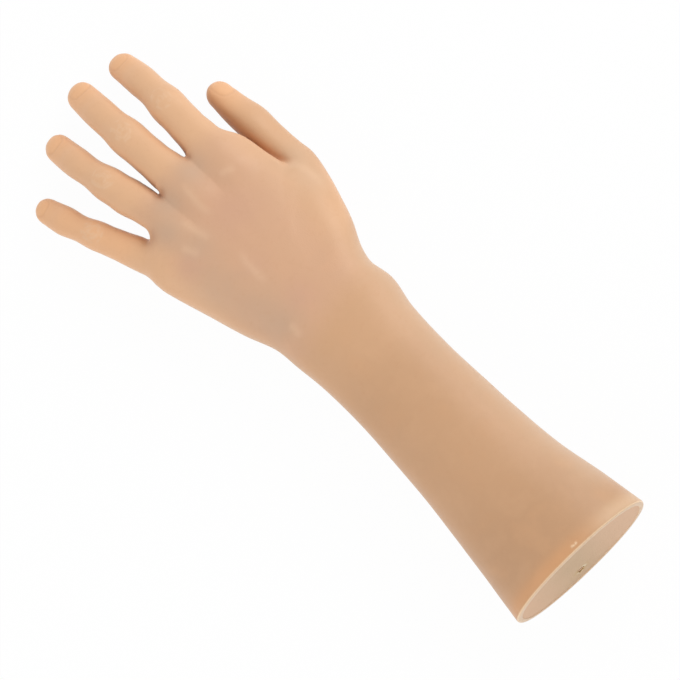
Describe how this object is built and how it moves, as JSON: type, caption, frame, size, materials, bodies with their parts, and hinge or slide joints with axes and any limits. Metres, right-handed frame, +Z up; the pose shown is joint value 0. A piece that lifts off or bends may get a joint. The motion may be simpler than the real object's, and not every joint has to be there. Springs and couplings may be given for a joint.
{
  "type": "tattoo practice hand",
  "caption": "Life-size silicone left hand and forearm on a bendable wire armature, lying palm down, for practising tattooing on skin.",
  "frame": {"origin": "on the surface that the hand lies on palm down, under the middle of its box", "axes": "+Z up, out of the back of the hand; +Y from the cut base of the forearm to the fingertips; +X towards the thumb"},
  "size_m": [0.1324, 0.3898, 0.074],
  "materials": {
    "silicone_skin": "satin pigmented silicone",
    "firm_core": "matt, uncoloured",
    "armature_plastic": "moulded",
    "armature_rod": "drawn",
    "armature_wire": "drawn, soft temper"
  },
  "bodies": {
    "palm": {"skin_palm_forearm": "silicone_skin", "core_palm_forearm": "firm_core", "armature_block": "armature_plastic", "armature_rod": "armature_rod", "ferrule_index": "armature_wire", "ferrule_middle": "armature_wire", "ferrule_ring": "armature_wire", "ferrule_little": "armature_wire", "ferrule_thumb": "armature_wire", "wire_index": "armature_wire", "wire_middle": "armature_wire", "wire_ring": "armature_wire", "wire_little": "armature_wire", "wire_thumb": "armature_wire"},
    "index_proximal": {"index_proximal_skin": "silicone_skin"},
    "index_middle": {"index_middle_skin": "silicone_skin"},
    "index_distal": {"index_distal_skin": "silicone_skin"},
    "middle_proximal": {"middle_proximal_skin": "silicone_skin"},
    "middle_middle": {"middle_middle_skin": "silicone_skin"},
    "middle_distal": {"middle_distal_skin": "silicone_skin"},
    "ring_proximal": {"ring_proximal_skin": "silicone_skin"},
    "ring_middle": {"ring_middle_skin": "silicone_skin"},
    "ring_distal": {"ring_distal_skin": "silicone_skin"},
    "little_proximal": {"little_proximal_skin": "silicone_skin"},
    "little_middle": {"little_middle_skin": "silicone_skin"},
    "little_distal": {"little_distal_skin": "silicone_skin"},
    "thumb_proximal": {"thumb_proximal_skin": "silicone_skin"},
    "thumb_distal": {"thumb_distal_skin": "silicone_skin"}
  },
  "joints": [
    {"name": "index_base_bend", "type": "hinge", "parent": "palm", "child": "index_proximal", "pos_m": [0.02694, 0.12762, 0.0293], "axis": [-0.9984, -0.0558, 0], "range_deg": [-10, 35], "deforming": ["wire_index"]},
    {"name": "index_middle_bend", "type": "hinge", "parent": "index_proximal", "child": "index_middle", "pos_m": [0.02588, 0.14669, 0.02593], "axis": [-0.9984, -0.0558, 0], "range_deg": [-12, 45], "deforming": ["wire_index"]},
    {"name": "index_tip_bend", "type": "hinge", "parent": "index_middle", "child": "index_distal", "pos_m": [0.0247, 0.1678, 0.01739], "axis": [-0.9984, -0.0558, 0], "range_deg": [-8, 30], "deforming": ["wire_index"]},
    {"name": "middle_base_bend", "type": "hinge", "parent": "palm", "child": "middle_proximal", "pos_m": [0.00134, 0.12742, 0.03085], "axis": [-0.9976, -0.0698, 0], "range_deg": [-10, 35], "deforming": ["wire_middle"]},
    {"name": "middle_middle_bend", "type": "hinge", "parent": "middle_proximal", "child": "middle_middle", "pos_m": [-0.00017, 0.14903, 0.02703], "axis": [-0.9976, -0.0698, 0], "range_deg": [-12, 45], "deforming": ["wire_middle"]},
    {"name": "middle_tip_bend", "type": "hinge", "parent": "middle_middle", "child": "middle_distal", "pos_m": [-0.00162, 0.16975, 0.01864], "axis": [-0.9976, -0.0698, 0], "range_deg": [-8, 30], "deforming": ["wire_middle"]},
    {"name": "ring_base_bend", "type": "hinge", "parent": "palm", "child": "ring_proximal", "pos_m": [-0.02236, 0.12312, 0.02916], "axis": [-0.986, -0.1668, 0], "range_deg": [-10, 35], "deforming": ["wire_ring"]},
    {"name": "ring_middle_bend", "type": "hinge", "parent": "ring_proximal", "child": "ring_middle", "pos_m": [-0.0248, 0.13759, 0.02658], "axis": [-0.986, -0.1668, 0], "range_deg": [-12, 45], "deforming": ["wire_ring"]},
    {"name": "ring_tip_bend", "type": "hinge", "parent": "ring_middle", "child": "ring_distal", "pos_m": [-0.02858, 0.15989, 0.01744], "axis": [-0.986, -0.1668, 0], "range_deg": [-8, 30], "deforming": ["wire_ring"]},
    {"name": "little_base_bend", "type": "hinge", "parent": "palm", "child": "little_proximal", "pos_m": [-0.04396, 0.10882, 0.02277], "axis": [-0.9483, -0.3173, 0], "range_deg": [-10, 35], "deforming": ["wire_little"]},
    {"name": "little_middle_bend", "type": "hinge", "parent": "little_proximal", "child": "little_middle", "pos_m": [-0.0487, 0.123, 0.02067], "axis": [-0.9483, -0.3173, 0], "range_deg": [-12, 45], "deforming": ["wire_little"]},
    {"name": "little_tip_bend", "type": "hinge", "parent": "little_middle", "child": "little_distal", "pos_m": [-0.05504, 0.14194, 0.01418], "axis": [-0.9483, -0.3173, 0], "range_deg": [-8, 30], "deforming": ["wire_little"]},
    {"name": "thumb_base_bend", "type": "hinge", "parent": "palm", "child": "thumb_proximal", "pos_m": [0.05514, 0.08412, 0.01658], "axis": [-0.8195, 0.0443, 0.5714], "range_deg": [-12, 35], "deforming": ["wire_thumb"]},
    {"name": "thumb_tip_bend", "type": "hinge", "parent": "thumb_proximal", "child": "thumb_distal", "pos_m": [0.05497, 0.10922, 0.01438], "axis": [-0.8195, 0.0443, 0.5714], "range_deg": [-10, 45], "deforming": ["wire_thumb"]}
  ]
}
